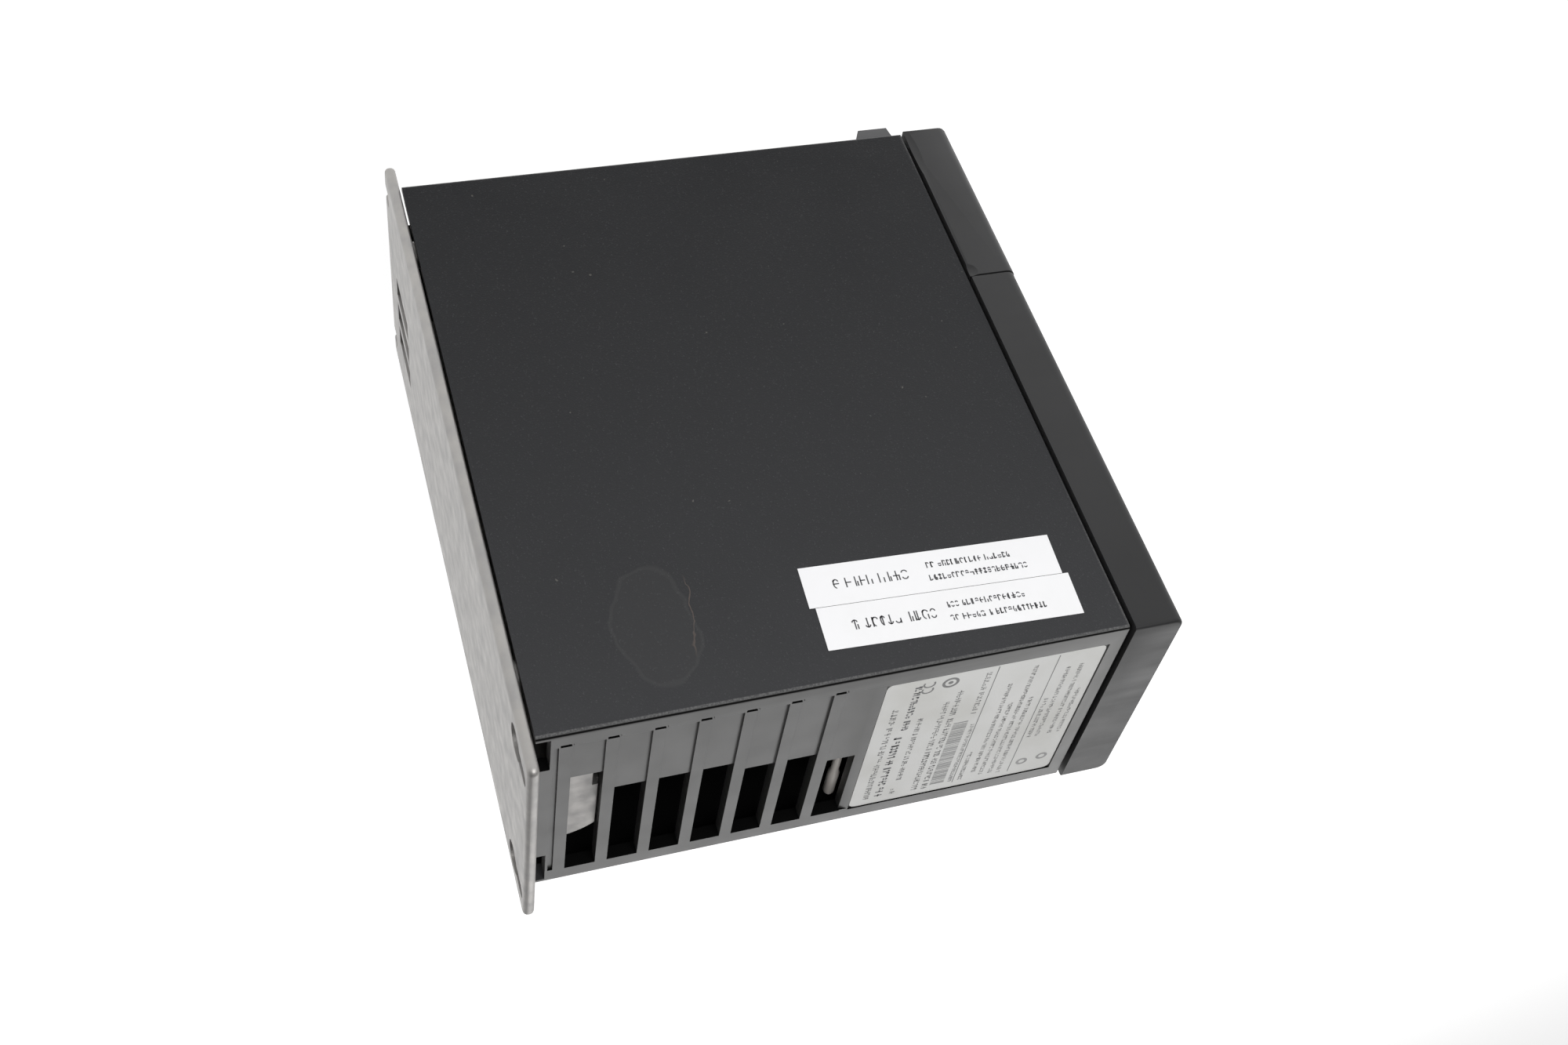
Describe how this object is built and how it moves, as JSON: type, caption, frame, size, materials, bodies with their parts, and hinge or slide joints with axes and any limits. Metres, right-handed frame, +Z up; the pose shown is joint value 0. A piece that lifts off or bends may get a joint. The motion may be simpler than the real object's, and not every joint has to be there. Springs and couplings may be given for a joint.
{
  "type": "servo drive",
  "caption": "Compact panel-mounted motor drive: cast aluminium back plate with keyhole slots, dark ribbed-vent housing, front control panel and slide-off terminal cover.",
  "frame": {"origin": "centre of the back mounting face", "axes": "+Y out of the back mounting face, into the wall that the drive hangs on; -Y is the front with the keys; +Z up, the end with the nameplate; +X to the right seen from the front"},
  "size_m": [0.077, 0.17, 0.2],
  "materials": {
    "cast_aluminium": "cast, unpainted, lightly scuffed",
    "body_plastic": "charcoal moulded plastic with a fine spark-eroded texture",
    "cover_plastic": "charcoal moulded plastic, smooth satin",
    "inner_plastic": "black moulded plastic",
    "plug_plastic": "dark grey moulded plastic",
    "component_black": "black component plastic",
    "key_plastic": "grey moulded keys",
    "window_plastic": "smoked display window",
    "led_yellow": "tinted lens",
    "led_red": "tinted lens",
    "led_green": "tinted lens",
    "label_paper": "white label",
    "board_green": "glass-fibre board with solder mask",
    "connector_green": "green terminal plastic",
    "capacitor_sleeve": "shrink sleeve",
    "choke_copper": "enamelled copper wire",
    "film_capacitor": "cream plastic box",
    "steel": "zinc-plated steel",
    "key_rubber": "silicone rubber",
    "thermal_rubber": "grey heat-conducting pad",
    "nylon": "pale beige nylon",
    "switch_white": "white levers"
  },
  "bodies": {
    "root": {"heatsink": "cast_aluminium", "housing": "body_plastic", "front_frame": "inner_plastic", "control_panel": "cover_plastic", "display_window": "window_plastic", "display_module": "component_black", "led_yellow": "led_yellow", "led_red": "led_red", "led_green": "led_green", "key_mat": "key_rubber", "keypad_board": "board_green", "power_board": "board_green", "control_board": "board_green", "board_link": "component_black", "power_module": "component_black", "thermal_pad": "thermal_rubber", "module_screw_1": "steel", "module_screw_2": "steel", "dc_capacitor_1": "capacitor_sleeve", "dc_capacitor_2": "capacitor_sleeve", "dc_capacitor_3": "capacitor_sleeve", "filter_choke": "choke_copper", "filter_capacitor": "film_capacitor", "power_relay": "component_black", "supply_transformer": "component_black", "fan_frame": "component_black", "mains_header": "component_black", "motor_header": "component_black", "control_terminals_upper": "connector_green", "control_terminals_lower": "connector_green", "bus_connector": "steel", "dip_switch": "component_black", "body_screw_1": "steel", "body_screw_2": "steel", "body_screw_3": "steel", "body_screw_4": "steel", "board_screw_1": "steel", "board_screw_2": "steel", "outlet_air_sensor": "nylon", "rating_label": "label_paper", "asset_label_1": "label_paper", "asset_label_2": "label_paper"},
    "terminal_cover": {"terminal_cover": "cover_plastic"},
    "mains_plug": {"mains_plug": "plug_plastic"},
    "motor_plug": {"motor_plug": "plug_plastic"},
    "fan_rotor": {"fan_rotor": "component_black"},
    "menu_key": {"menu_key": "key_plastic"},
    "plus_key": {"plus_key": "key_plastic"},
    "stop_key": {"stop_key": "key_plastic"},
    "change_data_key": {"change_data_key": "key_plastic"},
    "minus_key": {"minus_key": "key_plastic"},
    "start_key": {"start_key": "key_plastic"},
    "dip_lever_1": {"dip_lever_1": "switch_white"},
    "dip_lever_2": {"dip_lever_2": "switch_white"},
    "dip_lever_3": {"dip_lever_3": "switch_white"},
    "dip_lever_4": {"dip_lever_4": "switch_white"}
  },
  "joints": [
    {"name": "menu_key_press", "type": "slide", "parent": "root", "child": "menu_key", "axis": [0, 1, 0], "range_m": [0, 0.0008], "stiffness_N_per_m": 1000},
    {"name": "plus_key_press", "type": "slide", "parent": "root", "child": "plus_key", "axis": [0, 1, 0], "range_m": [0, 0.0008], "stiffness_N_per_m": 1000},
    {"name": "stop_key_press", "type": "slide", "parent": "root", "child": "stop_key", "axis": [0, 1, 0], "range_m": [0, 0.0008], "stiffness_N_per_m": 1000},
    {"name": "change_data_key_press", "type": "slide", "parent": "root", "child": "change_data_key", "axis": [0, 1, 0], "range_m": [0, 0.0008], "stiffness_N_per_m": 1000},
    {"name": "minus_key_press", "type": "slide", "parent": "root", "child": "minus_key", "axis": [0, 1, 0], "range_m": [0, 0.0008], "stiffness_N_per_m": 1000},
    {"name": "start_key_press", "type": "slide", "parent": "root", "child": "start_key", "axis": [0, 1, 0], "range_m": [0, 0.0008], "stiffness_N_per_m": 1000},
    {"name": "terminal_cover_slide", "type": "slide", "parent": "root", "child": "terminal_cover", "axis": [0, 0, -1], "range_m": [0, 0.066]},
    {"name": "mains_plug_pull", "type": "slide", "parent": "root", "child": "mains_plug", "axis": [0, 0, -1], "range_m": [0, 0.014]},
    {"name": "motor_plug_pull", "type": "slide", "parent": "root", "child": "motor_plug", "axis": [0, 0, -1], "range_m": [0, 0.014]},
    {"name": "fan_spin", "type": "hinge", "parent": "root", "child": "fan_rotor", "pos_m": [-0.0142, -0.0345, -0.0874], "axis": [0, 0, 1], "continuous": true},
    {"name": "dip_lever_1_slide", "type": "slide", "parent": "root", "child": "dip_lever_1", "axis": [0, 0, 1], "range_m": [0, 0.0017]},
    {"name": "dip_lever_2_slide", "type": "slide", "parent": "root", "child": "dip_lever_2", "axis": [0, 0, 1], "range_m": [0, 0.0017]},
    {"name": "dip_lever_3_slide", "type": "slide", "parent": "root", "child": "dip_lever_3", "axis": [0, 0, 1], "range_m": [0, 0.0017]},
    {"name": "dip_lever_4_slide", "type": "slide", "parent": "root", "child": "dip_lever_4", "axis": [0, 0, 1], "range_m": [0, 0.0017]}
  ]
}
